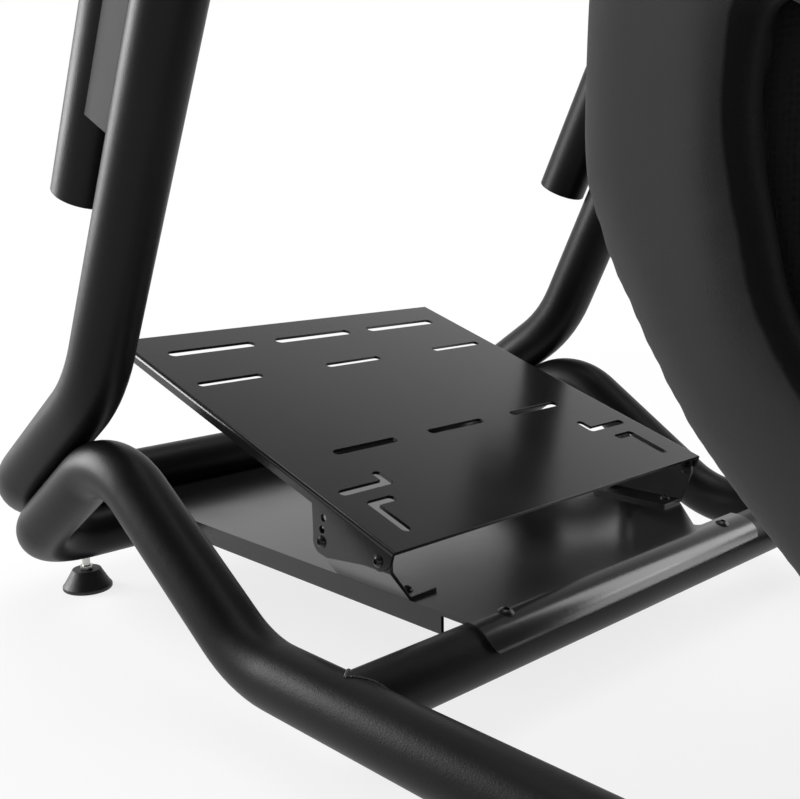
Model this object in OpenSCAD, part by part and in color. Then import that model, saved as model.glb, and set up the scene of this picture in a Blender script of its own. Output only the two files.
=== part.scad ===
// Sim racing cockpit: tube frame, pedal deck, wheel deck and a low bucket seat.
// The driver faces the front, which is -Y, and the driver's left is +X.
// The origin is on the floor, under the middle of the whole cockpit.

/* [Base loop] */
// Length of the whole cockpit, front loop to rear loop
overall_length = 1380; // [1300:10:1480]
// Distance between the centre lines of the two side tubes
track = 624; // [580:2:660]
// Height of the base tube's centre line above the floor
base_z = 58; // [52:1:64]
// Outside diameter of the base tube
base_d = 50; // [46:1:52]
// Wall of every frame tube
tube_wall = 2; // [1.5:0.25:3]
// Bend radius of the loops' four corners, on the centre line
corner_r = 72; // [65:1:90]
// Straight stub past each corner, up to the weld
corner_stub = 14; // [8:1:25]
// How much a tube's wall thins round a bend, on each face
bend_thinning = 0.1; // [0.1:0.01:0.2]
// Height that the hump rises over the floor run
hump_rise = 129; // [110:1:140]
// Slope of the hump's front leg
front_slope = 34.6; // [32:0.2:38]
// Slope of the hump's rear leg
rear_slope = 33.4; // [30:0.2:38]
// Bend radius at the top of the hump
hump_r = 79; // [65:1:90]
// Bend radius where the floor run turns up
rise_r = 108; // [90:1:130]

/* [Uprights] */
// Outside diameter of the uprights
upright_d = 54; // [50:1:56]
// Height of the upright's bend above the floor
kink_z = 237; // [225:1:250]
// Lean of the uprights towards the driver, from vertical
lean = 26.4; // [22:0.2:30]
// Bend radius of the upright's bend
kink_r = 149; // [120:1:160]
// Height of the upright's top end
upright_top_z = 585; // [560:5:620]
// Clear gap between an upright and its support tube
support_gap = 14; // [10:1:20]
// Outside diameter of the support tubes
support_d = 54; // [48:1:56]
// Height of the support tube's lower end
support_low_z = 399; // [380:1:420]
// Height of the support tube's top end
support_top_z = 690; // [670:5:720]
// Height on the upright where the gusset plates begin
gusset_low_z = 436; // [420:1:450]
// Length of the gusset plates along the tubes
gusset_length = 150; // [120:5:170]
// Thickness of the gusset plates
gusset_t = 5; // [3:0.5:6]
// Distance of each gusset plate from the tubes' centre plane
gusset_out = 19; // [15:1:21]

/* [Lower deck] */
// Outside diameter of the cross tubes
cross_d = 46; // [42:1:50]
// Distance from the front loop back to the cross tube
bay = 487; // [470:1:500]
// Thickness of the deck sheets
sheet_t = 3; // [2:0.5:4]
// Width of the lower plate
lower_w = 384; // [360:2:400]
// Depth of the lower plate's side flanges
lower_flange = 18; // [12:1:24]
// Gap between a side flange's end and the cross tube's centre line
flange_relief = 29; // [27:1:40]
// Angle that the saddle wraps over the cross tube, from the top
saddle_wrap = 74; // [60:1:85]
// Corner radius of the saddle's free edge
saddle_corner = 12; // [6:1:16]
// Length of the relief notch along the plate's right edge
notch_l = 58; // [40:1:70]
// Depth of the relief notch, in from the plate's right edge
notch_w = 65; // [45:1:75]
// Distance of the notch's straight side from the cross tube's centre line
notch_start = 7; // [5:0.5:12]
// Radius of the notch's inner corner
notch_r = 6; // [4:0.5:9]

/* [Pedal plate] */
// Width of the pedal plate
pedal_w = 430; // [410:2:450]
// Length of the pedal plate
pedal_l = 413; // [395:1:425]
// Tilt of the pedal plate
pedal_tilt = 17.8; // [14:0.2:20]
// Distance of the plate's near edge from the cross tube's centre line
pedal_near = 57; // [50:1:65]
// Height of the plate's near edge above the floor
pedal_near_z = 131.3; // [128:0.1:140]
// Depth of the side lips
lip_h = 10; // [8:0.5:14]
// Outside bend radius of the lips
lip_r = 3.5; // [3:0.5:5]
// Slot width in the far row
wide_slot = 12; // [8:0.5:14]
// Slot width in the other rows
slot_w = 9; // [6:0.5:10]
// Length of the far row's slots
far_slot_l = 104; // [90:1:112]
// Sideways pitch of the far row
far_pitch = 131.5; // [124:0.5:134]
// Distance of the far row from the near edge
far_row = 371; // [355:1:375]
// Length of the slots in the second and third rows
mid_slot_l = 75; // [60:1:85]
// Sideways pitch of the second row
second_pitch = 156.5; // [140:0.5:162]
// Distance of the second row from the near edge
second_row = 301.5; // [280:0.5:320]
// Sideways pitch of the third row
third_pitch = 117.5; // [105:0.5:125]
// Distance of the third row from the near edge
third_row = 145; // [130:1:160]

/* [Hinge flanges and brackets] */
// Distance of the pivot bolt from the plate's near edge, along the plate
pivot_l = 12.8; // [11:0.1:16]
// Depth of the pivot bolt under the plate's top face
pivot_drop = 14.7; // [13:0.1:18]
// Radius from the pivot bolt to the three angle holes
angle_r = 67.5; // [60:0.5:72]
// Diameter of the small bolts
bolt_d = 6; // [5:0.5:7]
// Clearance of a bolt in its hole, on the diameter
bolt_play = 0.5; // [0.3:0.1:1]
// Diameter of the small bolts' heads
head_d = 10.5; // [9:0.5:12]
// Diameter of the saddle bolts
saddle_bolt_d = 8; // [6:1:9]
// Diameter of the saddle bolts' heads
saddle_head_d = 13; // [11:0.5:15]
// Sideways distance of the saddle bolts from the middle
saddle_bolt_x = 156; // [140:1:165]
// Turn of the saddle bolts from the tube's top, towards the driver
saddle_bolt_turn = 10; // [0:1:20]
// Width of the brackets' feet
foot_tab_w = 30; // [26:1:36]
// Distance of the first foot bolt from the cross tube's centre line
foot_bolt_near = 76; // [74:1:80]
// Pitch of the two foot bolts
foot_bolt_pitch = 64; // [55:1:66]

/* [Levelling feet] */
// Diameter of the foot pads
pad_d = 50; // [44:1:56]
// Height of the foot pads
pad_h = 21; // [16:1:24]
// Diameter of the pads' top
pad_top_d = 29; // [24:1:34]
// Diameter of the foot studs
stud_d = 8; // [6:1:10]
// Sideways distance of the feet from the middle
foot_x = 247; // [245:1:255]

/* [Wheel deck] */
// Width of the wheel plate
wheel_w = 320; // [280:2:360]
// Length of the wheel plate
wheel_l = 250; // [220:2:280]
// Height of the wheel plate's face above the deck tube's centre line
wheel_rise = 62; // [56:1:70]
// Height of the deck tube's centre line
deck_tube_z = 640; // [625:1:655]
// Sideways pitch of the wheel plate's outer slots
wheel_outer_x = 190; // [170:2:210]
// Pitch of the outer slots from front to back
wheel_outer_y = 150; // [130:2:170]
// Length of the outer slots
wheel_outer_l = 60; // [40:1:70]
// Pitch of the wheel plate's inner slots, both ways
wheel_inner = 80; // [70:1:84]
// Length of the inner slots
wheel_inner_l = 40; // [30:1:44]

/* [Seat] */
// Outside width of the seat
seat_w = 470; // [450:2:480]
// Thickness of the padded side wings
wing_t = 62; // [50:1:70]
// Distance from the cross tube back to the seat's nose
seat_back_by = 126; // [115:1:140]
// Height of the seat's shell, which sets the size of its side outlines
seat_h = 836; // [800:4:872]
// Height of the seat's underside
seat_low_z = 150; // [146:1:160]
// Thickness of the dark side panels
panel_t = 22; // [14:1:30]
// Thickness of the seat's shell
shell_t = 9; // [6:0.5:12]
// Height of the wing's nose above the seat's underside
nose_h = 440; // [410:5:450]
// Half width of the seat's head part
head_half_w = 130; // [120:1:150]
// Width of the harness slots
harness_w = 62; // [50:1:70]
// Height of the harness slots
harness_h = 24; // [16:1:30]
// Diameter of the seat's cross tubes
seat_cross_d = 38; // [32:1:42]
// Distance from the cross tube back to the front seat tube
seat_front_by = 330; // [310:5:350]
// Distance between the front and rear seat tubes
seat_tube_pitch = 260; // [220:5:280]
// Height of the seat rails
rail_h = 30; // [25:1:40]
// Width of the seat rails
rail_w = 40; // [30:1:50]
// Length that the seat rails run past the seat tubes
rail_over = 30; // [26:1:40]

/* [Hidden] */
$fn = 64;
half_track = track / 2;
base_r = base_d / 2;
upright_r = upright_d / 2;
support_r = support_d / 2;
cross_r = cross_d / 2;
fit_gap = 0.3;
stack = base_r + upright_r + fit_gap;
base_front_y = -overall_length / 2 + upright_r + stack * sin(front_slope);
up_front_y = -overall_length / 2 + upright_r;
up_front_z = base_z + stack * cos(front_slope);
rear_y = overall_length / 2 - base_r;
hump_y = base_front_y + hump_rise / tan(front_slope);
rise_y = hump_y + hump_rise / tan(rear_slope);
stub_l = corner_r + corner_stub;
bend_lap = 1.5;
kink_y = up_front_y + (kink_z - up_front_z) / tan(front_slope);
cross_y = base_front_y + bay;
cross_z = base_z + base_r - cross_r;
deck_z = base_z + base_r;
deck_top_z = deck_z + sheet_t;
support_off = upright_r + support_r + support_gap;
pedal_step = pedal_tilt / 2;
cut = 1;
bolt_hole = bolt_d + bolt_play;
bracket_out = pedal_w / 2 - sheet_t;
fold_x = lower_w / 2;
tab_end_x = fold_x - foot_tab_w;
foot_bolt_x = fold_x - sheet_t - head_d / 2 - 1;
pivot_y = cross_y - pedal_near - pivot_l * cos(pedal_tilt) - pivot_drop * sin(pedal_tilt);
pivot_z = pedal_near_z + pivot_l * sin(pedal_tilt) - pivot_drop * cos(pedal_tilt);
head_h = head_d * 0.31;
saddle_head_h = saddle_head_d * 0.31;
seat_y = cross_y + seat_back_by;
seat_k = seat_h / 836;
seat_deep = 720 * seat_k;
nose = nose_h / seat_k;
wing_in = seat_w / 2 - wing_t;
seat_front_y = cross_y + seat_front_by;
seat_rear_y = seat_front_y + seat_tube_pitch;
rail_top_z = seat_low_z - fit_gap;
rail_low_z = rail_top_z - rail_h;
rail_x = seat_w / 2 - wing_t / 2;
seat_tube_z = base_z + base_r - seat_cross_d / 2;
deck_tube_y = upright_y(deck_tube_z) - support_off / cos(lean);
wheel_mid_z = deck_tube_z + wheel_rise;

// Place along Y of an upright's centre line at height z
function upright_y(z) = kink_y + (z - kink_z) * tan(lean);

// Heading of the run from p to q
function heading(p, q) = atan2(q[1] - p[1], q[0] - p[0]);

// Turn of a path at corner i, from -180 to 180
function turn_at(path, i) =
    let (t = heading(path[i], path[i + 1]) - heading(path[i - 1], path[i]))
    t > 180 ? t - 360 : t < -180 ? t + 360 : t;

// Length that the bend at corner i takes from each run, none at the ends
function lead_at(path, radii, i) =
    i < 1 || i > len(path) - 2 ? 0 : radii[i - 1] * tan(abs(turn_at(path, i)) / 2);

// Round tube along a flat path with a bend radius at each inner corner
module bent_tube(path, radii, d, wall) {
    last = len(path) - 1;
    for (i = [0:last - 1]) {
        from = lead_at(path, radii, i) - (i > 0 ? bend_lap : 0);
        to = lead_at(path, radii, i + 1) - (i < last - 1 ? bend_lap : 0);
        translate(path[i])
            rotate([0, 0, heading(path[i], path[i + 1])])
            translate([from, 0, 0])
            rotate([90, 0, 90])
            linear_extrude(norm(path[i + 1] - path[i]) - from - to)
            ring(d, wall);
    }
    for (i = [1:last - 1]) {
        turn = turn_at(path, i);
        side = sign(turn);
        r = radii[i - 1];
        translate(path[i])
            rotate([0, 0, heading(path[i - 1], path[i])])
            translate([-lead_at(path, radii, i), side * r, 0])
            rotate([0, 0, side > 0 ? -90 : 90 + turn])
            rotate_extrude(angle = abs(turn))
            translate([r, 0])
            ring(d - 2 * bend_thinning, wall - 2 * bend_thinning);
    }
}

module ring(d, wall) {
    difference() {
        circle(d = d);
        circle(d = d - 2 * wall);
    }
}

// Puts a path drawn in Y and Z into the vertical plane at x
module side_plane(x) {
    translate([x, 0, 0]) rotate([90, 0, 90]) children();
}

// Mirrors what is drawn for the driver's left to the given side
module on_side(side) {
    if (side > 0) children();
    else mirror([1, 0, 0]) children();
}

// Straight round bar between the side tubes
module across(y, z, d, length) {
    translate([-length / 2, y, z]) rotate([0, 90, 0]) cylinder(h = length, d = d);
}

// Cross tube with both ends coped to the base tubes
module coped_tube(y, z, d) {
    difference() {
        across(y, z, d, track);
        across(y, z, d - 2 * tube_wall, track + 2 * cut);
        for (x = [-half_track, half_track])
            translate([x, y - base_d, base_z])
                rotate([-90, 0, 0])
                cylinder(h = 2 * base_d, d = base_d);
    }
}

module base_side(side) {
    corner = stub_l * [cos(front_slope), sin(front_slope)];
    path = [
        [rear_y - stub_l, base_z],
        [rise_y, base_z],
        [hump_y, base_z + hump_rise],
        [base_front_y, base_z] + corner
    ];
    color("dimgray")
        side_plane(side * half_track)
        bent_tube(path, [rise_r, hump_r], base_d, tube_wall);
}

// U shaped loop end in the plane that rises at the given slope
module loop_end(y, z, slope, d, back = 1) {
    path = [
        [-half_track, back * stub_l],
        [-half_track, 0],
        [half_track, 0],
        [half_track, back * stub_l]
    ];
    translate([0, y, z])
        rotate([slope, 0, 0])
        bent_tube(path, [corner_r, corner_r], d, tube_wall);
}

// Place of a foot's stud on a loop corner: how far back it sits
function foot_back() =
    foot_x <= half_track - corner_r ? 0
        : corner_r - sqrt(pow(corner_r, 2) - pow(foot_x - half_track + corner_r, 2));

module stud_holes(y, back, slope) {
    for (x = [-foot_x, foot_x])
        translate([x, y + back * foot_back() * cos(slope), 0])
            cylinder(h = base_z, d = stud_d);
}

module base_front() {
    color("dimgray") difference() {
        loop_end(base_front_y, base_z, front_slope, base_d);
        stud_holes(base_front_y, 1, front_slope);
    }
}

module base_rear() {
    color("dimgray") difference() {
        loop_end(rear_y, base_z, 0, base_d, -1);
        stud_holes(rear_y, -1, 0);
    }
}

module upright(side) {
    corner = stub_l * [cos(front_slope), sin(front_slope)];
    path = [
        [up_front_y, up_front_z] + corner,
        [kink_y, kink_z],
        [upright_y(upright_top_z), upright_top_z]
    ];
    color("dimgray")
        side_plane(side * half_track)
        bent_tube(path, [kink_r], upright_d, tube_wall);
}

module upright_front() {
    color("dimgray") loop_end(up_front_y, up_front_z, front_slope, upright_d);
}

// Runs a bar parallel to the uprights, off by a distance towards the front
module along_upright(x, z, off) {
    translate([x, upright_y(z), z])
        rotate([-lean, 0, 0])
        translate([0, -off, 0])
        children();
}

module support(side) {
    run = (support_top_z - support_low_z) / cos(lean);
    color("dimgray")
        along_upright(side * half_track, support_low_z - support_off * sin(lean), support_off)
        difference() {
            cylinder(h = run, r = support_r);
            translate([0, 0, -cut]) cylinder(h = run + 2 * cut, r = support_r - tube_wall);
        }
}

// Pair of plates that tie an upright to its support tube
module gussets(side) {
    color("gray") difference() {
        along_upright(side * half_track, gusset_low_z, 0)
            for (out = [-gusset_out - gusset_t / 2, gusset_out - gusset_t / 2])
                translate([out, -support_off, 0])
                    cube([gusset_t, support_off, gusset_length]);
        along_upright(side * half_track, gusset_low_z, 0)
            for (off = [[0, upright_r], [-support_off, support_r]])
                translate([0, off[0], -cut])
                    cylinder(h = gusset_length + 2 * cut, r = off[1]);
    }
}

// Flush plug that sits inside a tube's open end
module plug_stem(r) {
    cylinder(h = 8, r = r - tube_wall);
}

// Plastic plug in a tube's open end
module plug(r) {
    translate([0, 0, -8]) plug_stem(r);
    rotate_extrude() intersection() {
        translate([0, -r * 1.2]) circle(r = r * 1.2 + 4);
        square([r, r]);
    }
}

module tube_caps() {
    support_end = support_low_z - support_off * sin(lean);
    run = (support_top_z - support_low_z) / cos(lean);
    color("black") for (side = [-1, 1]) {
        along_upright(side * half_track, upright_top_z, 0) plug(upright_r);
        along_upright(side * half_track, support_end, support_off) {
            translate([0, 0, run]) plug(support_r);
            translate([0, 0, 8]) mirror([0, 0, 1]) plug_stem(support_r);
        }
    }
}

module cross_tube() {
    color("dimgray") difference() {
        coped_tube(cross_y, cross_z, cross_d);
        saddle_bolt_places() cylinder(h = cross_d, d = saddle_bolt_d, center = true);
    }
}

// Places of the saddle bolts, pointing out of the cross tube
module saddle_bolt_places() {
    for (x = [-saddle_bolt_x, saddle_bolt_x])
        translate([x, cross_y, cross_z])
            rotate([-saddle_bolt_turn, 0, 0])
            translate([0, 0, saddle_seat()])
            children();
}

// Height of the flat that a saddle bolt's head sits on
function saddle_seat() =
    sqrt(pow(cross_r + sheet_t, 2) - pow(saddle_head_d / 2, 2));

// Sheet that wraps over the cross tube, free edge towards the driver
module saddle() {
    outer = cross_r + sheet_t;
    translate([-lower_w / 2, cross_y, cross_z])
        rotate([90, 0, 90])
        linear_extrude(lower_w)
        intersection() {
            difference() {
                circle(r = outer);
                circle(r = cross_r);
            }
            polygon([
                [0, 0],
                [0, 2 * outer],
                [2 * outer * sin(saddle_wrap / 2), 2 * outer * cos(saddle_wrap / 2)],
                [2 * outer * sin(saddle_wrap), 2 * outer * cos(saddle_wrap)]
            ]);
        }
}

// Rounds the saddle's two free corners
module saddle_corners() {
    edge_y = cross_y + (cross_r + sheet_t) * sin(saddle_wrap);
    edge_z = cross_z + cross_r * cos(saddle_wrap);
    for (side = [-1, 1])
        on_side(side)
            translate([lower_w / 2 - saddle_corner, edge_y - sheet_t, edge_z + saddle_corner])
            rotate([-90, 0, 0])
            difference() {
                translate([0, 0, -saddle_corner])
                    cube([2 * saddle_corner, 2 * saddle_corner, 2 * saddle_corner]);
                translate([0, 0, -saddle_corner - cut])
                    cylinder(h = 2 * saddle_corner + 2 * cut, r = saddle_corner);
            }
}

// Outline of the relief notch at the plate's right edge, seen from above
module notch_outline() {
    difference() {
        polygon([
            [-fold_x - cut, 0],
            [-fold_x + notch_w, 0],
            [-fold_x, -notch_l],
            [-fold_x - cut, -notch_l]
        ]);
        translate([-fold_x + notch_w - 2 * notch_r, -notch_r])
            difference() {
                square([2 * notch_r, notch_r]);
                circle(r = notch_r);
            }
    }
}

module lower_plate() {
    front_y = base_front_y - sheet_t;
    flange_l = cross_y - flange_relief - base_front_y - base_r;
    color("dimgray") difference() {
        union() {
            translate([-lower_w / 2, front_y, deck_z])
                cube([lower_w, cross_y - front_y, sheet_t]);
            for (side = [-1, 1])
                on_side(side)
                    translate([fold_x - sheet_t, base_front_y + base_r, deck_top_z - lower_flange])
                    cube([sheet_t, flange_l, lower_flange]);
            saddle();
        }
        saddle_corners();
        saddle_bolt_places() {
            cylinder(h = sheet_t, d = saddle_head_d + bolt_play);
            cylinder(h = cross_r, d = saddle_bolt_d + bolt_play, center = true);
        }
        translate([0, cross_y - notch_start, deck_z - lower_flange - cut])
            linear_extrude(2 * lower_flange + sheet_t)
            notch_outline();
        for (side = [-1, 1])
            for (i = [0, 1])
                translate([side * foot_bolt_x, foot_bolt_y(i), deck_z - cut])
                    cylinder(h = sheet_t + 2 * cut, d = bolt_hole);
    }
}

function foot_bolt_y(i) = cross_y - foot_bolt_near - i * foot_bolt_pitch;

// Slot with round ends, seen from above
module slot(length, width) {
    square([length - width, width], center = true);
    for (x = [-1, 1])
        translate([x * (length - width) / 2, 0]) circle(d = width);
}

module slot_row(l, pitch, length, width) {
    for (i = [-1:1]) translate([i * pitch, l]) slot(length, width);
}

// Angled slots at the near end, drawn for the driver's left
module corner_slots() {
    bar_l = 87;
    bar_in = 138;
    bar_out = 196;
    leg_top = 105;
    translate([(bar_in + bar_out) / 2, bar_l]) slot(bar_out - bar_in, slot_w);
    translate([bar_in + slot_w / 2, (bar_l + leg_top - slot_w / 2) / 2])
        rotate(90)
        slot(leg_top - bar_l + slot_w / 2, slot_w);
    low_l = 64;
    low_in = 155;
    leg_x = 180;
    leg_low = 19;
    translate([(low_in + leg_x + slot_w / 2) / 2, low_l]) slot(leg_x + slot_w / 2 - low_in, slot_w);
    translate([leg_x, (low_l + slot_w / 2 + leg_low) / 2])
        rotate(90)
        slot(low_l + slot_w / 2 - leg_low, slot_w);
}

module pedal_slots() {
    slot_row(far_row, far_pitch, far_slot_l, wide_slot);
    slot_row(second_row, second_pitch, mid_slot_l, slot_w);
    slot_row(third_row, third_pitch, mid_slot_l, slot_w);
    corner_slots();
    mirror([1, 0]) corner_slots();
}

// Section of a folded tray: a sheet with a rounded lip down each side
module tray_section(width, depth) {
    difference() {
        union() {
            for (x = [-1, 1])
                translate([x * (width / 2 - lip_r), -lip_r]) circle(r = lip_r);
            translate([-width / 2 + lip_r, -depth]) square([width - 2 * lip_r, depth]);
            translate([-width / 2, -depth]) square([width, depth - lip_r]);
        }
        translate([-width / 2 + sheet_t, -depth - cut])
            square([width - 2 * sheet_t, depth - sheet_t + cut]);
    }
}

// Frame of the pedal plate: X across, Y along from the near edge, Z out of its face
module pedal_frame() {
    translate([0, cross_y - pedal_near, pedal_near_z])
        rotate([0, 0, 180])
        rotate([pedal_tilt, 0, 0])
        children();
}

// Outline of the hinge flange, along the plate and down from its face
module hinge_flange() {
    near_h = 17;
    far_l = 97;
    nose = 12;
    low = [angle_r * cos(2 * pedal_step) + pivot_l, -angle_r * sin(2 * pedal_step) - pivot_drop];
    difference() {
        union() {
            polygon([
                [0, -lip_r],
                [0, -near_h + 5],
                [4, -near_h],
                low + [-9, -nose + 2],
                low + [2, -nose + 1],
                low + [nose - 1, 0],
                [far_l, -lip_h],
                [far_l, -lip_r]
            ]);
            translate(low) circle(r = nose - 1);
            translate([pivot_l - 1, -pivot_drop]) circle(r = 8);
        }
        translate([pivot_l, -pivot_drop]) circle(d = bolt_hole);
        for (i = [0:2])
            translate([pivot_l, -pivot_drop])
                rotate(-i * pedal_step)
                translate([angle_r, 0])
                circle(d = bolt_hole);
    }
}

module pedal_plate() {
    color("dimgray") pedal_frame() {
        difference() {
            translate([0, pedal_l, 0])
                rotate([90, 0, 0])
                linear_extrude(pedal_l)
                tray_section(pedal_w, lip_h);
            translate([0, 0, -lip_h / 2]) linear_extrude(lip_h) pedal_slots();
        }
        for (x = [-pedal_w / 2, pedal_w / 2 - sheet_t])
            translate([x, 0, 0])
                rotate([90, 0, 90])
                linear_extrude(sheet_t)
                hinge_flange();
    }
}

// Bent sheet seen from the front: foot, slanting web and upright ear
module bracket_section() {
    ear_top = pivot_z + 12;
    web_top = pivot_z - 9;
    tab_top = deck_top_z + sheet_t;
    lean_in = sheet_t * 0.45;
    polygon([
        [tab_end_x, deck_top_z],
        [fold_x, deck_top_z],
        [bracket_out, web_top],
        [bracket_out, ear_top],
        [bracket_out - sheet_t, ear_top],
        [bracket_out - sheet_t, web_top + lean_in],
        [fold_x - lean_in, tab_top],
        [tab_end_x, tab_top]
    ]);
}

// Side outline of a bracket, which trims the ear and the web
module bracket_outline() {
    near = -cross_y + 63;
    far = -cross_y + 150;
    ear_far = -pivot_y + angle_r;
    polygon([
        [near, deck_top_z],
        [near, pivot_z + 6],
        [near + 6, pivot_z + 10],
        [ear_far + 4, pivot_z + 10],
        [ear_far + 9, pivot_z + 5],
        [ear_far + 9, pivot_z - 4],
        [far, deck_top_z + sheet_t],
        [far, deck_top_z]
    ]);
}

module bracket(side) {
    color("dimgray") on_side(side) difference() {
        intersection() {
            translate([0, cross_y, 0])
                rotate([90, 0, 0])
                linear_extrude(pedal_l)
                bracket_section();
            rotate([90, 0, -90])
                translate([0, 0, -pedal_w])
                linear_extrude(pedal_w)
                bracket_outline();
        }
        for (y = [pivot_y, pivot_y - angle_r])
            translate([bracket_out - 2 * sheet_t, y, pivot_z])
                rotate([0, 90, 0])
                cylinder(h = 4 * sheet_t, d = bolt_hole);
        for (i = [0, 1])
            translate([foot_bolt_x, foot_bolt_y(i), deck_top_z - cut])
                cylinder(h = sheet_t + 2 * cut, d = bolt_hole);
    }
}

// Button head bolt, seat at z = 0 and head upwards, with its nut under the stack
module button_bolt(d, head, head_h, grip, nut = true) {
    difference() {
        rotate_extrude() union() {
            square([d / 2, 0.1]);
            intersection() {
                translate([0, head_h - head * 0.62]) circle(r = head * 0.62);
                square([head / 2, head_h]);
            }
        }
        translate([0, 0, head_h * 0.4]) cylinder(h = head_h, d = head * 0.44, $fn = 6);
    }
    translate([0, 0, -grip - d]) cylinder(h = grip + d, d = d);
    if (nut) translate([0, 0, -grip - d * 0.8]) cylinder(h = d * 0.8, d = d * 1.9, $fn = 6);
}

module hinge_bolts() {
    color("black") for (side = [-1, 1])
        on_side(side)
            for (y = [pivot_y, pivot_y - angle_r])
                translate([pedal_w / 2, y, pivot_z])
                    rotate([0, 90, 0])
                    button_bolt(bolt_d, head_d, head_h, 2 * sheet_t);
}

module foot_bolts() {
    color("black") for (side = [-1, 1])
        for (i = [0, 1])
            translate([side * foot_bolt_x, foot_bolt_y(i), deck_top_z + sheet_t])
                button_bolt(bolt_d, head_d, head_h, 2 * sheet_t);
}

module saddle_bolts() {
    color("black")
        saddle_bolt_places()
        button_bolt(saddle_bolt_d, saddle_head_d, saddle_head_h, sheet_t + tube_wall, false);
}

// Places of the four feet on the floor
module foot_places() {
    for (x = [-foot_x, foot_x]) {
        translate([x, base_front_y + foot_back() * cos(front_slope), 0]) children();
        translate([x, rear_y - foot_back(), 0]) children();
    }
}

module foot_pads() {
    rim = 4;
    color("black") foot_places() rotate_extrude() difference() {
        polygon([
            [0, 0],
            [pad_d / 2 - 1, 0],
            [pad_d / 2, 1],
            [pad_d / 2, rim],
            [pad_d / 2 - 1.5, rim + 1.5],
            [pad_top_d / 2 + 1, pad_h - 2],
            [pad_top_d / 2, pad_h],
            [0, pad_h]
        ]);
        translate([0, pad_h / 2]) square([stud_d / 2, pad_h]);
    }
}

module foot_studs() {
    nut_h = 4;
    color("silver") foot_places() {
        translate([0, 0, pad_h / 2]) cylinder(h = base_z - pad_h / 2, d = stud_d);
        translate([0, 0, pad_h]) cylinder(h = nut_h, d = stud_d * 1.7, $fn = 6);
    }
}

// Cross tube between the support tubes, coped to them
module deck_tube() {
    color("dimgray") difference() {
        across(deck_tube_y, deck_tube_z, cross_d, track);
        across(deck_tube_y, deck_tube_z, cross_d - 2 * tube_wall, track + 2 * cut);
        for (x = [-half_track, half_track])
            along_upright(x, deck_tube_z, support_off)
                cylinder(h = 4 * cross_d, r = support_r, center = true);
    }
}

// Frame of the wheel plate: origin at the plate's middle, on its top face
module wheel_frame() {
    translate([0, deck_tube_y, wheel_mid_z]) children();
}

module wheel_plate() {
    color("dimgray") wheel_frame() difference() {
        translate([0, wheel_l / 2, 0])
            rotate([90, 0, 0])
            linear_extrude(wheel_l)
            tray_section(wheel_w, 3 * lip_h);
        translate([0, 0, -lip_h / 2]) linear_extrude(lip_h) {
            slot_corners(wheel_outer_x, wheel_outer_y, wheel_outer_l);
            slot_corners(wheel_inner, wheel_inner, wheel_inner_l);
        }
        for (y = [-0.2 * wheel_l, 0.2 * wheel_l])
            translate([-wheel_w, y, -2 * lip_h])
                rotate([0, 90, 0])
                cylinder(h = 2 * wheel_w, d = bolt_hole);
    }
}

// Four slots at the corners of a rectangle
module slot_corners(pitch_x, pitch_y, length) {
    for (x = [-pitch_x / 2, pitch_x / 2])
        for (y = [-pitch_y / 2, pitch_y / 2])
            translate([x, y]) slot(length, slot_w);
}

// Plate that stands on the deck tube and carries the wheel plate's side lip
module wheel_bracket(side) {
    color("dimgray") on_side(side) difference() {
        translate([wheel_w / 2 - 2 * sheet_t, deck_tube_y, 0])
            rotate([90, 0, 90])
            linear_extrude(sheet_t)
            difference() {
                translate([0, wheel_mid_z]) polygon([
                    [-0.3 * wheel_l, -sheet_t],
                    [0.3 * wheel_l, -sheet_t],
                    [0.3 * wheel_l, -2.6 * lip_h],
                    [cross_r + 4, -wheel_rise],
                    [-cross_r - 4, -wheel_rise],
                    [-0.3 * wheel_l, -2.6 * lip_h]
                ]);
                translate([0, deck_tube_z]) circle(r = cross_r);
            }
        wheel_frame() for (y = [-0.2 * wheel_l, 0.2 * wheel_l])
            translate([-wheel_w, y, -2 * lip_h])
                rotate([0, 90, 0])
                cylinder(h = 2 * wheel_w, d = bolt_hole);
    }
}

module seat_tube_front() {
    color("dimgray") coped_tube(seat_front_y, seat_tube_z, seat_cross_d);
}

module seat_tube_rear() {
    color("dimgray") coped_tube(seat_rear_y, seat_tube_z, seat_cross_d);
}

// Posts from the seat tubes up to the rails
module seat_posts() {
    color("dimgray") difference() {
        for (x = [-rail_x, rail_x])
            for (y = [seat_front_y, seat_rear_y])
                translate([x, y, seat_tube_z]) cylinder(h = rail_low_z - seat_tube_z, d = 32);
        for (y = [seat_front_y, seat_rear_y]) across(y, seat_tube_z, seat_cross_d, track);
    }
}

module seat_rail(side) {
    wall = tube_wall;
    length = seat_tube_pitch + 2 * rail_over;
    color("dimgray")
        translate([side * rail_x - rail_w / 2, seat_front_y - rail_over, rail_low_z])
        difference() {
            cube([rail_w, length, rail_h]);
            translate([wall, -cut, wall])
                cube([rail_w - 2 * wall, length + 2 * cut, rail_h - 2 * wall]);
        }
}

// Point at t on the smooth curve that runs from b to c, with a and d beside them
function curve_at(a, b, c, d, t) =
    (2 * b + (c - a) * t + (2 * a - 5 * b + 4 * c - d) * t * t + (3 * b - a - 3 * c + d) * t * t * t) / 2;

// Smooth open curve through a list of points
function smooth(points, steps = 4) =
    let (last = len(points) - 1)
    [
        for (i = [0:last - 1])
            for (k = [0:steps - 1])
                curve_at(points[max(i - 1, 0)], points[i], points[i + 1], points[min(i + 2, last)], k / steps),
        points[last]
    ];

function reversed(points) = [for (i = [len(points) - 1:-1:0]) points[i]];

// Unit vector square to a line at point i, on the line's right hand
function square_to(line, i) =
    let (along = line[min(i + 1, len(line) - 1)] - line[max(i - 1, 0)])
    [-along[1], along[0]] / norm(along);

// The line moved sideways by a distance
function moved(line, by) = [for (i = [0:len(line) - 1]) line[i] + by * square_to(line, i)];

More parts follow.
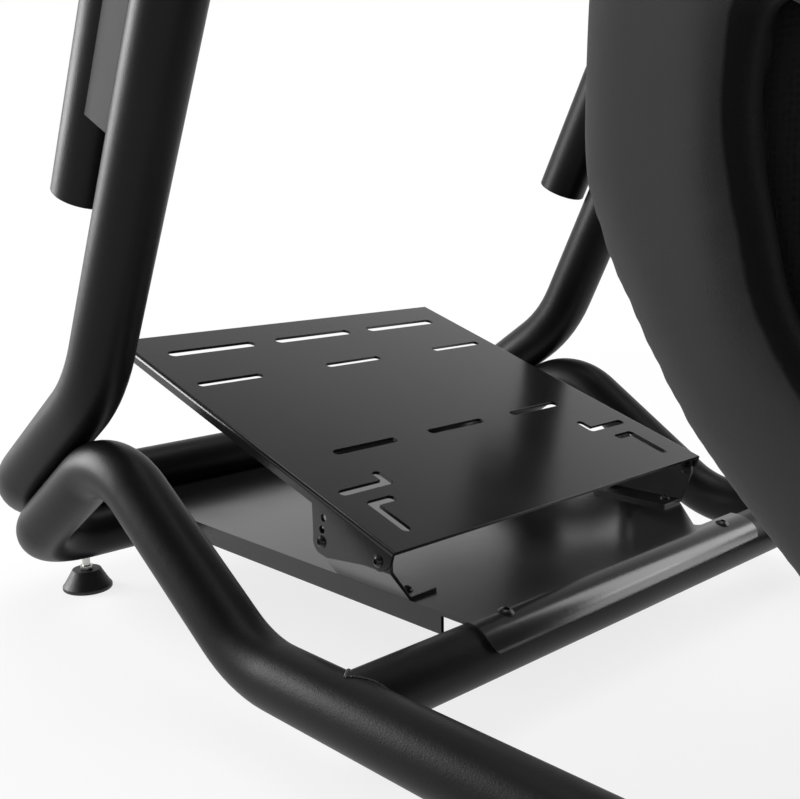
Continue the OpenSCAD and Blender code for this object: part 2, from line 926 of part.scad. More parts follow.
// Part of a line between two heights or lengths, picked by a test value
function between(line, axis, low, high) =
    [for (p = line) if (p[axis] >= low && p[axis] <= high) p];

// All seat outlines are drawn from the nose, Y towards the back, Z as height above the underside
// Outer line of the shell: down from the nose, back under the seat and up to the head
function shell_line() = seat_k * smooth([
    [14, 350], [12, 305], [20, 255], [40, 202], [70, 152], [105, 105], [150, 58], [190, 26], [230, 10],
    [300, 6], [440, 6], [478, 16], [505, 46], [528, 96], [560, 200], [592, 310], [630, 445],
    [668, 590], [688, 700], [696, 780], [698, 835]
]);

// Outline of a side wing: nose, thigh pad, hip and shoulder
function wing_line() = seat_k * smooth([
    [200, 0], [160, 36], [119, 75], [88, 108], [67, 134], [36, 184], [12, 231], [2, 270], [2, 325],
    [5, nose - 70], [14, nose - 28], [36, nose - 2], [66, nose + 2], [110, nose - 16],
    [160, 388], [220, 346], [290, 316], [350, 304], [400, 314], [440, 348], [474, 402], [508, 476],
    [538, 550], [566, 615], [590, 658], [620, 684], [654, 690], [678, 672], [684, 640], [674, 592],
    [634, 440], [596, 308], [564, 196], [532, 92], [509, 40], [490, 12], [480, 0]
]);

// Hollow in a wing, which the dark side panel closes
function hollow_line() = seat_k * smooth([
    [93, 321], [92, 290], [95, 260], [103, 226], [116, 183], [148, 136], [190, 102], [240, 86],
    [310, 82], [390, 84], [434, 98], [456, 136], [462, 180], [448, 212], [410, 222], [350, 214],
    [290, 226], [230, 254], [176, 292], [134, 332], [108, 346], [96, 338], [93, 321]
], 3);

// Places a side outline from x = from to x = to, with the nose at seat_y
module side_slab(from, to) {
    translate([from, seat_y, seat_low_z])
        rotate([90, 0, 90])
        linear_extrude(to - from)
        children();
}

// Front outline of the shell: full width at the shoulders, narrow at the head
module shell_front() {
    half = wing_in / seat_k;
    head = head_half_w / seat_k;
    side = seat_k * smooth([
        [half, 620], [half, 660], [half - 8, 688], [head + 6, 710], [head, 740], [head, 786],
        [head - 14, 822], [head - 50, 836]
    ]);
    polygon(concat([[wing_in, -cut]], side, reversed([for (p = side) [-p[0], p[1]]]), [[-wing_in, -cut]]));
}

module seat_shell() {
    outer = shell_line();
    color("black") difference() {
        intersection() {
            side_slab(-wing_in, wing_in)
                polygon(concat(outer, reversed(moved(outer, shell_t))));
            translate([0, seat_y + seat_deep, seat_low_z])
                rotate([90, 0, 0])
                linear_extrude(seat_deep + cut)
                shell_front();
        }
        for (x = [-1, 1])
            translate([x * harness_w * 1.06, seat_y + seat_deep, seat_low_z + 700 * seat_k])
                rotate([90, 0, 0])
                linear_extrude(seat_deep / 2)
                rotate(-x * 12)
                slot(harness_w, harness_h);
    }
}

module seat_wing(side) {
    color("gray") on_side(side)
        side_slab(wing_in + fit_gap, seat_w / 2)
        difference() {
            polygon(wing_line());
            polygon(hollow_line());
        }
}

module seat_panel(side) {
    color("black") on_side(side)
        side_slab(wing_in + 10, wing_in + 10 + panel_t)
        polygon(hollow_line());
}

// Inner face of the shell, which the cushions lie on
function cushion_bed() = moved(shell_line(), shell_t + fit_gap);

module seat_cushion() {
    bed = between([for (i = [0:44]) cushion_bed()[i]], 0, -cut, 466 * seat_k);
    top = seat_k * smooth([
        [472, 62], [440, 84], [370, 92], [300, 112], [230, 150], [160, 206], [104, 262], [66, 312],
        [46, 342], [32, 352], [24, 349]
    ]);
    color("gray") side_slab(-wing_in + fit_gap, wing_in - fit_gap) polygon(concat(bed, top));
}

module back_cushion() {
    bed = between([for (i = [46:72]) cushion_bed()[i]], 1, 40 * seat_k, 650 * seat_k);
    front = seat_k * smooth([
        [640, 660], [616, 668], [600, 655], [576, 590], [546, 505], [520, 420], [498, 335], [484, 260],
        [476, 190], [468, 130], [466, 92], [475, 66]
    ]);
    color("gray") side_slab(-wing_in + fit_gap, wing_in - fit_gap) polygon(concat(bed, front));
}

module head_cushion() {
    half = head_half_w * 0.89;
    bed = between([for (i = [60:79]) cushion_bed()[i]], 1, 726 * seat_k, 822 * seat_k);
    front = seat_k * smooth([[684, 828], [664, 822], [646, 796], [636, 762], [640, 732], [656, 722], [674, 724]]);
    color("gray") side_slab(-half, half) polygon(concat(bed, front));
}

base_side(1);  // base_left
base_side(-1);  // base_right
base_front();
base_rear();
upright(1);  // upright_left
upright(-1);  // upright_right
upright_front();
support(1);  // support_left
support(-1);  // support_right
gussets(1);  // gusset_left
gussets(-1);  // gusset_right
tube_caps();
cross_tube();
lower_plate();
pedal_plate();
bracket(1);  // bracket_left
bracket(-1);  // bracket_right
hinge_bolts();
foot_bolts();
saddle_bolts();
foot_pads();
foot_studs();
deck_tube();
wheel_plate();
wheel_bracket(1);  // wheel_bracket_left
wheel_bracket(-1);  // wheel_bracket_right
seat_tube_front();
seat_tube_rear();
seat_posts();
seat_rail(1);  // seat_rail_left
seat_rail(-1);  // seat_rail_right
seat_shell();
seat_wing(1);  // seat_wing_left
seat_wing(-1);  // seat_wing_right
seat_panel(1);  // seat_panel_left
seat_panel(-1);  // seat_panel_right
seat_cushion();
back_cushion();
head_cushion();
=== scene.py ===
"""Looks of a sim racing cockpit: tube frame, folded plates, screws, feet and a padded seat.

Lengths are metres. The driver faces -Y, and the driver's left is +X.
"""

import math

import bmesh
import bpy
from mathutils import Matrix, Vector
from mathutils.bvhtree import BVHTree
from mathutils.kdtree import KDTree


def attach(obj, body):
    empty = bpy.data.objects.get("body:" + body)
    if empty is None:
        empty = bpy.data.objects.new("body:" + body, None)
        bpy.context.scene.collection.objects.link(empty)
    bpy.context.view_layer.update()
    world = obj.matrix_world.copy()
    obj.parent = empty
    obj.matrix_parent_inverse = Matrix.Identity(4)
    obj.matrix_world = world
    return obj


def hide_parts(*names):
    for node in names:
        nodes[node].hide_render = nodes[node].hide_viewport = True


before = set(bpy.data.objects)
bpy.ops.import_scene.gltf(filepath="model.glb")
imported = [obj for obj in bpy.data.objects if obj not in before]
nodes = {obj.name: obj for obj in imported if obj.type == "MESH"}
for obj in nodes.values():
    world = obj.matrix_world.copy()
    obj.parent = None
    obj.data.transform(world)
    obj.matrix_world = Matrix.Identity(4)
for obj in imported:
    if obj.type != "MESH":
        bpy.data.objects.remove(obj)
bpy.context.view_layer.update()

# Frame sizes shared with the construction model.
LENGTH = 1.380
HALF_TRACK = 0.312
BASE_Z = 0.058
BASE_R = 0.025
UPRIGHT_R = 0.027
SUPPORT_R = 0.027
CROSS_R = 0.023
WALL = 0.002
FIT_GAP = 0.0003
CORNER_R = 0.072
STUB = 0.086
FRONT_SLOPE = math.radians(34.6)
REAR_SLOPE = math.radians(33.4)
HUMP_RISE = 0.129
HUMP_R = 0.079
RISE_R = 0.108
KINK_Z = 0.237
KINK_R = 0.149
LEAN = math.radians(26.4)
UPRIGHT_TOP = 0.585
SUPPORT_LOW = 0.399
SUPPORT_TOP = 0.690
SUPPORT_OFF = 0.068
BAY = 0.487
DECK_TUBE_Z = 0.640
SEAT_TUBE_R = 0.019
SEAT_TUBE_BACK = (0.330, 0.590)
POST_X = 0.204
POST_R = 0.016

# Places that follow from those sizes.
STACK = BASE_R + UPRIGHT_R + FIT_GAP
BASE_FRONT_Y = -LENGTH / 2 + UPRIGHT_R + STACK * math.sin(FRONT_SLOPE)
UP_FRONT_Y = -LENGTH / 2 + UPRIGHT_R
UP_FRONT_Z = BASE_Z + STACK * math.cos(FRONT_SLOPE)
REAR_Y = LENGTH / 2 - BASE_R
HUMP_Y = BASE_FRONT_Y + HUMP_RISE / math.tan(FRONT_SLOPE)
RISE_Y = HUMP_Y + HUMP_RISE / math.tan(REAR_SLOPE)
KINK_Y = UP_FRONT_Y + (KINK_Z - UP_FRONT_Z) / math.tan(FRONT_SLOPE)
CROSS_Y = BASE_FRONT_Y + BAY
CROSS_Z = BASE_Z + BASE_R - CROSS_R
SEAT_TUBE_Z = BASE_Z + BASE_R - SEAT_TUBE_R

# Fineness of the tube skins.
TUBE_SIDES = 48
BEND_STEP = math.radians(4)
LONGEST_RUN = 0.04
END_CHAMFER = 0.0005

# Where a pad's cloth is free of its neighbours, and how far it may slide or sink there.
FREE_REACH = 0.022
MOST_SLIDE = 0.0012
MOST_SINK = 0.0006

# Seams of the cushions: their places across and along, the long seams' ends and the depths.
SEAM_X = 0.148
SEAM_PITCH = 0.072
SEAT_SEAMS = [0.10 + SEAM_PITCH * k for k in range(5)]
BACK_SEAMS = [0.33 + SEAM_PITCH * k for k in range(6)]
SEAT_SEAM_ENDS = (0.045, 0.43)
BACK_SEAM_ENDS = (0.29, 0.76)
OVER_SEAT_Z = 0.7
AHEAD_OF_BACK_Y = 0.2
SIDE_SEAM_DEPTH = 0.003
CROSS_SEAM_DEPTH = 0.004
SEAM_HALF_WIDTH = 0.006

# The photograph's camera.
YAW, PITCH, ROLL = math.radians(43.45), math.radians(10.70), math.radians(-0.73)
CAMERA_PLACE = (0.7462, 0.3676, 0.3963)
FOCAL_PIXELS = 1085.32
IMAGE_WIDTH = 800
SENSOR_WIDTH = 36.0

WHITE = (1, 1, 1, 1)
SIDES = ((1, "left"), (-1, "right"))


def upright_y(z):
    """Place along Y of an upright's centre line at height z."""
    return KINK_Y + (z - KINK_Z) * math.tan(LEAN)


DECK_TUBE_Y = upright_y(DECK_TUBE_Z) - SUPPORT_OFF / math.cos(LEAN)


# Node trees

class Wire:
    """An output socket that adds maths nodes when it is used in an expression."""

    def __init__(self, board, socket):
        self.board, self.socket = board, socket

    def maths(self, operation, *values):
        return self.board.node("ShaderNodeMath", {"operation": operation}, dict(enumerate(values)))

    def __add__(self, other):
        return self.maths("ADD", self, other)

    def __sub__(self, other):
        return self.maths("SUBTRACT", self, other)

    def __rsub__(self, other):
        return self.maths("SUBTRACT", other, self)

    def __mul__(self, other):
        return self.maths("MULTIPLY", self, other)

    __radd__ = __add__
    __rmul__ = __mul__


class Board:
    """A node tree with one method that adds any node."""

    def __init__(self, tree):
        self.tree = tree
        tree.nodes.clear()

    def link(self, socket, value):
        if isinstance(value, Wire):
            self.tree.links.new(value.socket, socket)
        else:
            socket.default_value = value

    def node(self, kind, settings, sockets, output=0):
        """Adds a node and returns the named output, or nothing if output is None."""
        n = self.tree.nodes.new(kind)
        for key, value in settings.items():
            setattr(n, key, value)
        for key, value in sockets.items():
            self.link(n.inputs[key], value)
        return None if output is None else Wire(self, n.outputs[output])

    def span(self, value, low, high, to_low, to_high, kind="LINEAR"):
        """Maps the range low to high onto the range to_low to to_high."""
        sockets = {"Value": value, "From Min": low, "From Max": high,
                   "To Min": to_low, "To Max": to_high}
        return self.node("ShaderNodeMapRange", {"interpolation_type": kind}, sockets)


class Finish(Board):
    """A material under construction, whose patterns read the object's own coordinates."""

    def __init__(self, name):
        self.material = bpy.data.materials.new(name)
        self.material.use_nodes = True
        super().__init__(self.material.node_tree)
        self.place = self.node("ShaderNodeTexCoord", {}, {}, "Object")

    def shaded(self, **sockets):
        """Ends the material in its shader, whose sockets are named with underscores."""
        named = {key.replace("_", " ").title().replace("Ior", "IOR"): value
                 for key, value in sockets.items()}
        shader = self.node("ShaderNodeBsdfPrincipled", {}, named)
        self.node("ShaderNodeOutputMaterial", {}, {0: shader}, None)
        return self.material

    def moved(self, **how):
        return self.node("ShaderNodeMapping", {}, {"Vector": self.place, **how})

    def grain(self, scale, detail=2.0, roughness=0.5, stretch=None):
        at = self.moved(Scale=stretch) if stretch else self.place
        values = {"Vector": at, "Scale": scale, "Detail": detail, "Roughness": roughness}
        return self.node("ShaderNodeTexNoise", {}, values)

    def wave(self, scale, bands, at=None, **more):
        values = {"Vector": at or self.place, "Scale": scale, **more}
        return self.node("ShaderNodeTexWave", {"bands_direction": bands}, values)

    def blend(self, factor, a, b):
        return self.node("ShaderNodeMix", {"data_type": "RGBA"}, {0: factor, 6: a, 7: b}, 2)

    def bump(self, height, distance, strength=1.0, after=None):
        sockets = {"Height": height, "Distance": distance, "Strength": strength}
        if after is not None:
            sockets["Normal"] = after
        return self.node("ShaderNodeBump", {}, sockets)


# Materials

def grey(v, tint=(1.0, 1.0, 1.0)):
    return (v * tint[0], v * tint[1], v * tint[2], 1.0)


def powder_coat(name, tone, dusty, rough, gloss, texture=1.0):
    """Stoved powder: fine orange peel, faint cloudy tone and slightly uneven gloss."""
    f = Finish(name)
    cloud = f.grain(7.0, detail=4.0, roughness=0.55)
    peel = f.grain(650.0)
    ripple = f.grain(120.0)
    speck = f.span(f.grain(2200.0, detail=1.0), 0.62, 0.75, 0.0, 0.15)
    cloudy = f.span(cloud, 0.35, 0.7, 0.0, 1.0)
    colour = f.blend(cloudy, grey(tone), grey(dusty, (1.0, 1.0, 0.98)))
    colour = f.blend(speck, colour, grey(dusty * 2.2))
    peeled = f.bump(peel, 0.00012 * texture)
    return f.shaded(
        base_color=colour,
        roughness=f.span(cloud, 0.3, 0.7, rough - 0.03, rough + 0.04),
        specular_ior_level=gloss,
        normal=f.bump(ripple, 0.0001 * texture, after=peeled),
    )


def zinc_plate():
    """Zinc with faint marks of the thread's rolling."""
    f = Finish("zinc_plate")
    rub = f.grain(900.0, detail=3.0, roughness=0.6, stretch=(1, 1, 0.08))
    cloud = f.grain(60.0, detail=3.0)
    return f.shaded(
        base_color=f.blend(cloud, grey(0.42, (1.0, 0.99, 0.95)), grey(0.62, (1.0, 1.0, 0.98))),
        metallic=1.0,
        roughness=f.span(rub, 0.3, 0.7, 0.22, 0.42),
        normal=f.bump(rub, 0.00008),
    )


def black_oxide():
    """Oiled black screws with a finely pitted skin."""
    f = Finish("black_oxide")
    cloud = f.grain(260.0, detail=3.0, roughness=0.6)
    pit = f.grain(1800.0)
    return f.shaded(
        base_color=f.blend(cloud, grey(0.016), grey(0.045, (1.0, 0.98, 0.95))),
        metallic=0.6,
        roughness=f.span(pit, 0.3, 0.7, 0.2, 0.34),
        normal=f.bump(pit, 0.00005),
    )


def moulded(name, low, high, rough):
    """Moulded black plastic or rubber with a fine spark-eroded grain."""
    f = Finish(name)
    grain = f.grain(1500.0, detail=3.0, roughness=0.6)
    cloud = f.grain(40.0, detail=3.0)
    return f.shaded(
        base_color=f.blend(cloud, grey(low), grey(high)),
        roughness=f.span(grain, 0.3, 0.7, rough - 0.06, rough + 0.08),
        normal=f.bump(grain, 0.00012),
    )


def smooth_cloth(name, hollow_shaded=False):
    """Tight dark grey cloth with a very fine twill; with painted shade, near black in and around
    the hollow.
    """
    f = Finish(name)
    cloud = f.grain(5.0, detail=4.0, roughness=0.55)
    fibre = f.grain(2600.0, roughness=0.6)
    diagonal = f.moved(Rotation=(math.radians(45), 0, 0))
    twill = f.wave(420.0, "Y", diagonal, Distortion=0.6, Detail=1.0)
    cloudy = f.span(cloud, 0.3, 0.7, 0.0, 1.0)
    colour = f.blend(cloudy, grey(0.027), grey(0.037, (1.0, 1.0, 0.98)))
    colour = f.blend(fibre * 0.35, colour, grey(0.06))
    if hollow_shaded:
        # Painted shade: near black inside the hollow's outline and up to 1.5 mm outside it, fading
        # out by 3.5 mm.
        depth = f.node("ShaderNodeAttribute", {"attribute_name": "hollow_depth"}, {}, "Fac")
        colour = f.blend(f.span(depth, -0.0035, -0.0015, 0.0, 1.0), colour, grey(0.004))
    return f.shaded(
        base_color=colour,
        roughness=f.span(fibre, 0.3, 0.7, 0.78, 0.94),
        specular_ior_level=0.2,
        sheen_weight=0.14,
        sheen_roughness=0.5,
        sheen_tint=(0.75, 0.76, 0.78, 1.0),
        normal=f.bump(twill, 0.00012, strength=0.5, after=f.bump(fibre, 0.00018)),
    )


def mesh_cloth():
    """Near-black spacer fabric with rows of small open cells."""
    f = Finish("seat_mesh_cloth")
    cells = {"Vector": f.place, "Scale": 230.0, "Randomness": 0.25}
    cell = f.node("ShaderNodeTexVoronoi", {"feature": "F1"}, cells)
    cloud = f.grain(6.0, detail=4.0)
    fibre = f.grain(3000.0)
    colour = f.blend(f.span(cell, 0.1, 0.5, 0.0, 1.0), grey(0.003), grey(0.009))
    colour = f.blend(f.span(cloud, 0.35, 0.7, 0.0, 0.5), colour, grey(0.014))
    return f.shaded(
        base_color=colour,
        roughness=f.span(fibre, 0.3, 0.7, 0.8, 0.95),
        specular_ior_level=0.12,
        sheen_weight=0.04,
        normal=f.bump(cell, 0.0009, strength=0.7, after=f.bump(fibre, 0.00015)),
    )


def shell_gloss():
    """Moulded shell: smooth black, lightly rubbed, with the mould's faint waviness."""
    f = Finish("seat_shell_black")
    wave = f.grain(14.0)
    rub = f.grain(380.0, detail=3.0, roughness=0.6, stretch=(1, 1, 0.2))
    return f.shaded(
        base_color=f.blend(wave, grey(0.010), grey(0.017)),
        roughness=f.span(rub, 0.3, 0.7, 0.24, 0.36),
        specular_ior_level=0.45,
        normal=f.bump(rub, 0.00006, after=f.bump(wave, 0.0006)),
    )


def seam_cord():
    """Twisted black thread."""
    f = Finish("seam_piping")
    twist = f.wave(380.0, "DIAGONAL")
    return f.shaded(
        base_color=f.blend(twist, grey(0.012), grey(0.03)),
        roughness=f.span(twist, 0, 1, 0.6, 0.8),
        normal=f.bump(twist, 0.0002),
    )


def weld_metal():
    """The bead under the powder coat: same black, softened ripples."""
    f = Finish("coated_weld")
    lumps = f.grain(350.0, detail=3.0)
    return f.shaded(
        base_color=f.blend(lumps, grey(0.016), grey(0.03)),
        roughness=f.span(lumps, 0.3, 0.7, 0.36, 0.46),
        normal=f.bump(lumps, 0.0004),
    )


tube_coat = powder_coat("satin_powder_coat", tone=0.0045, dusty=0.0075, rough=0.4, gloss=0.15)
pedal_coat = powder_coat("sheet_powder_coat", tone=0.011, dusty=0.015, rough=0.2, gloss=0.5,
                         texture=0.45)
deck_coat = powder_coat("gloss_sheet_coat", tone=0.010, dusty=0.014, rough=0.17, gloss=0.5,
                        texture=0.3)
gusset_coat = powder_coat("grey_powder_coat", tone=0.05, dusty=0.06, rough=0.62, gloss=0.08)
wheel_coat = powder_coat("satin_sheet_coat", tone=0.009, dusty=0.013, rough=0.6, gloss=0.03,
                         texture=0.6)
zinc = zinc_plate()
oxide = black_oxide()
foot_rubber = moulded("foot_rubber", low=0.006, high=0.014, rough=0.5)
cap_plastic = moulded("cap_plastic", low=0.012, high=0.022, rough=0.55)
head_cloth = smooth_cloth("seat_cloth")
# The wing cloth has painted shade in and around the side hollow.
wing_cloth = smooth_cloth("wing_cloth", hollow_shaded=True)
panel_cloth = mesh_cloth()
shell_coat = shell_gloss()
thread = seam_cord()
weld = weld_metal()


# Meshes

def linked(name, mesh):
    obj = bpy.data.objects.new(name, mesh)
    bpy.context.scene.collection.objects.link(obj)
    return obj


def adopt(obj, node):
    """Makes a finished piece ride on the part, standing for a node if one is named."""
    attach(obj, "root")
    if node:
        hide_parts(node)


def settle(obj):
    """Applies an object's modifiers into a plain mesh."""
    depsgraph = bpy.context.evaluated_depsgraph_get()
    mesh = bpy.data.meshes.new_from_object(obj.evaluated_get(depsgraph))
    obj.modifiers.clear()
    obj.data = mesh


def copy_solid(node, name, material):
    """Copy of a node's solid with its doubled points merged."""
    mesh = nodes[node].data.copy()
    mesh.materials.clear()
    mesh.materials.append(material)
    bm = bmesh.new()
    bm.from_mesh(mesh)
    bmesh.ops.remove_doubles(bm, verts=bm.verts, dist=2e-6)
    bm.to_mesh(mesh)
    bm.free()
    return linked(name, mesh)


def soften(mesh, degrees):
    """Smooth shading, with an edge kept where faces meet at more than the angle."""
    limit = math.radians(degrees)
    bm = bmesh.new()
    bm.from_mesh(mesh)
    for e in bm.edges:
        e.smooth = not (len(e.link_faces) == 2 and e.calc_face_angle(0) > limit)
    for f in bm.faces:
        f.smooth = True
    bm.to_mesh(mesh)
    bm.free()


def join_flats(mesh):
    """Turns the triangles of each flat face into one face, so that only real edges are rounded."""
    bm = bmesh.new()
    bm.from_mesh(mesh)
    bmesh.ops.dissolve_limit(bm, angle_limit=math.radians(0.3), verts=bm.verts, edges=bm.edges)
    bm.to_mesh(mesh)
    bm.free()


def sliced(mesh, axis, step):
    """Cuts a skin across an axis at even steps, so that a long thin face shades evenly."""
    bm = bmesh.new()
    bm.from_mesh(mesh)
    across = Vector([float(k == axis) for k in range(3)])
    places = [v.co[axis] for v in bm.verts]
    start, stop = min(places), max(places)
    for k in range(1, int((stop - start) / step)):
        everything = bm.verts[:] + bm.edges[:] + bm.faces[:]
        at = across * (start + k * step)
        bmesh.ops.bisect_plane(bm, geom=everything, dist=1e-5, plane_co=at, plane_no=across)
    bm.to_mesh(mesh)
    bm.free()


def dressed(node, material, bevel, segments=2, slices=None):
    """Copy of a node's solid with rounded edges and smooth curves."""
    obj = copy_solid(node, node + "_coated", material)
    join_flats(obj.data)
    if slices:
        sliced(obj.data, *slices)
    soften(obj.data, 28)
    edge = obj.modifiers.new("edge", "BEVEL")
    edge.width = bevel
    edge.segments = segments
    edge.limit_method = "ANGLE"
    edge.angle_limit = math.radians(35)
    edge.use_clamp_overlap = True
    edge.harden_normals = False
    flat = obj.modifiers.new("flat", "WEIGHTED_NORMAL")
    flat.mode = "FACE_AREA"
    flat.weight = 100
    flat.keep_sharp = True
    settle(obj)
    adopt(obj, node)


# Tubes

def fillet(points, radii):
    """Centre line through the points, with a round bend at each inner one."""
    pts = [Vector(p) for p in points]
    line = [pts[0]]
    for i in range(1, len(pts) - 1):
        a = (pts[i - 1] - pts[i]).normalized()
        b = (pts[i + 1] - pts[i]).normalized()
        half = a.angle(b) / 2
        turn = math.pi - 2 * half
        r = radii[i - 1]
        lead = r / math.tan(half)
        centre = pts[i] + (a + b).normalized() * (r / math.sin(half))
        start = pts[i] + a * lead - centre
        axis = a.cross(b).normalized() * -1
        count = max(3, int(turn / BEND_STEP))
        for k in range(count + 1):
            line.append(centre + Matrix.Rotation(turn * k / count, 3, axis) @ start)
    line.append(pts[-1])
    return line


def split_long(line):
    """Adds points to a line's straight runs, so that no run is too long to shade well."""
    out = [line[0]]
    for p in line[1:]:
        start = out[-1]
        n = max(1, math.ceil((p - start).length / LONGEST_RUN))
        out += [start.lerp(p, k / n) for k in range(1, n + 1)]
    return out


def axes_along(line):
    """Heading and two side vectors at each point of a line, without any twist."""
    out = []
    side = None
    for i in range(len(line)):
        heading = (line[min(i + 1, len(line) - 1)] - line[max(i - 1, 0)]).normalized()
        if side is None:
            side = heading.orthogonal().normalized()
        else:
            side = (side - heading * side.dot(heading)).normalized()
        out.append((heading, side, heading.cross(side)))
    return out


def tube_skin(line, r, chamfers):
    """Skin of a tube with its bore and both end faces, each end chamfered by its own amount."""
    line = [p for i, p in enumerate(line) if i == 0 or (p - line[i - 1]).length > 1e-6]
    axes = axes_along(line)
    verts, rings = [], []

    def ring(at, radius, ax):
        rings.append(len(verts))
        for k in range(TUBE_SIDES):
            a = 2 * math.pi * k / TUBE_SIDES
            verts.append(at + (ax[1] * math.cos(a) + ax[2] * math.sin(a)) * radius)

    first, last = line[0], line[-1]
    inner = list(zip(line[1:-1], axes[1:-1]))
    ring(first, r - chamfers[0], axes[0])
    if chamfers[0]:
        ring(first + axes[0][0] * chamfers[0], r, axes[0])
    for p, ax in inner:
        ring(p, r, ax)
    if chamfers[1]:
        ring(last - axes[-1][0] * chamfers[1], r, axes[-1])
    ring(last, r - chamfers[1], axes[-1])
    ring(last, r - WALL, axes[-1])
    for p, ax in reversed(inner):
        ring(p, r - WALL, ax)
    ring(first, r - WALL, axes[0])
    faces = []
    for a, b in zip(rings, rings[1:] + rings[:1]):
        for k in range(TUBE_SIDES):
            n = (k + 1) % TUBE_SIDES
            faces.append((a + k, a + n, b + n, b + k))
    return verts, faces


def tube(name, node, line, r, chamfers=(0, 0)):
    """Bent tube; an end without a chamfer runs on into its neighbour."""
    verts, faces = tube_skin(split_long(line), r, chamfers)
    mesh = bpy.data.meshes.new(name)
    mesh.from_pydata([tuple(v) for v in verts], [], faces)
    mesh.validate()
    mesh.materials.append(tube_coat)
    bm = bmesh.new()
    bm.from_mesh(mesh)
    bmesh.ops.remove_doubles(bm, verts=bm.verts, dist=1e-6)
    bmesh.ops.recalc_face_normals(bm, faces=bm.faces)
    bm.to_mesh(mesh)
    bm.free()
    soften(mesh, 40)
    adopt(linked(name, mesh), node)


def corner(y, z):
    """End of a front loop's corner stub, on the side tube's plane."""
    return (y + STUB * math.cos(FRONT_SLOPE), z + STUB * math.sin(FRONT_SLOPE))


def side_line(side, path, radii):
    return fillet([(side * HALF_TRACK, y, z) for y, z in path], radii)


def loop_line(y, z, slope, back):
    """Line of a loop with two round corners; its stubs point along back times Y, up the slope."""
    corners = [(-HALF_TRACK, 0, 0), (HALF_TRACK, 0, 0)]
    ends = [(-HALF_TRACK, back * STUB, 0), (HALF_TRACK, back * STUB, 0)]
    line = fillet([ends[0], *corners, ends[1]], [CORNER_R, CORNER_R])
    turn = Matrix.Rotation(slope, 3, "X")
    return [turn @ p + Vector((0, y, z)) for p in line]


def support_line(side):
    """Centre line of the short tube in front of an upright, parallel to it."""
    foot = SUPPORT_LOW - SUPPORT_OFF * math.sin(LEAN)
    start = Vector((side * HALF_TRACK,
                    upright_y(foot) - SUPPORT_OFF * math.cos(LEAN),
                    foot + SUPPORT_OFF * math.sin(LEAN)))
    length = (SUPPORT_TOP - SUPPORT_LOW) / math.cos(LEAN)
    return [start, start + Vector((0, math.sin(LEAN), math.cos(LEAN))) * length]


def build_sides():
    """Each side's tubes, gussets, brackets and seat rail."""
    hump = (HUMP_Y, BASE_Z + HUMP_RISE)
    base_path = [(REAR_Y - STUB, BASE_Z), (RISE_Y, BASE_Z), hump, corner(BASE_FRONT_Y, BASE_Z)]
    top = (upright_y(UPRIGHT_TOP), UPRIGHT_TOP)
    up_path = [corner(UP_FRONT_Y, UP_FRONT_Z), (KINK_Y, KINK_Z), top]
    for side, word in SIDES:
        base = side_line(side, base_path, [RISE_R, HUMP_R])
        tube("base_tube_" + word, "base_" + word, base, BASE_R)
        upright = side_line(side, up_path, [KINK_R])
        tube("upright_tube_" + word, "upright_" + word, upright, UPRIGHT_R, (0, END_CHAMFER))
        both_ends = (END_CHAMFER, END_CHAMFER)
        tube("support_tube_" + word, "support_" + word, support_line(side), SUPPORT_R, both_ends)
        dressed("gusset_" + word, gusset_coat, bevel=0.0006)
        dressed("bracket_" + word, pedal_coat, bevel=0.0004)
        dressed("wheel_bracket_" + word, pedal_coat, bevel=0.0004)
        dressed("seat_rail_" + word, tube_coat, bevel=0.0015, segments=3)


def build_middle():
    """The loops, cross tubes, plates, screws, plugs, feet and shell between the sides."""
    front = loop_line(BASE_FRONT_Y, BASE_Z, FRONT_SLOPE, 1)
    tube("base_front_loop", "base_front", front, BASE_R)
    tube("base_rear_loop", "base_rear", loop_line(REAR_Y, BASE_Z, 0, -1), BASE_R)
    upright_front = loop_line(UP_FRONT_Y, UP_FRONT_Z, FRONT_SLOPE, 1)
    tube("upright_front_loop", "upright_front", upright_front, UPRIGHT_R)
    for node in ("cross_tube", "deck_tube", "seat_tube_front", "seat_tube_rear", "seat_posts"):
        dressed(node, tube_coat, bevel=0.0003)
    dressed("tube_caps", cap_plastic, bevel=0.0004)
    dressed("seat_shell", shell_coat, bevel=0.002, segments=3)
    dressed("lower_plate", deck_coat, bevel=0.0004, slices=(0, 0.0119))
    dressed("pedal_plate", pedal_coat, bevel=0.0004)
    dressed("wheel_plate", wheel_coat, bevel=0.0004)
    for node in ("hinge_bolts", "foot_bolts", "saddle_bolts"):
        dressed(node, oxide, bevel=0.0002)
    dressed("foot_pads", foot_rubber, bevel=0.0005)
    dressed("foot_studs", zinc, bevel=0.0002)


# Beads and stitches

def value_socket(sockets, name=None):
    """The first plain number socket, with a given name if there is one."""
    return next(k for k in sockets if k.type == "VALUE" and name in (None, k.name))


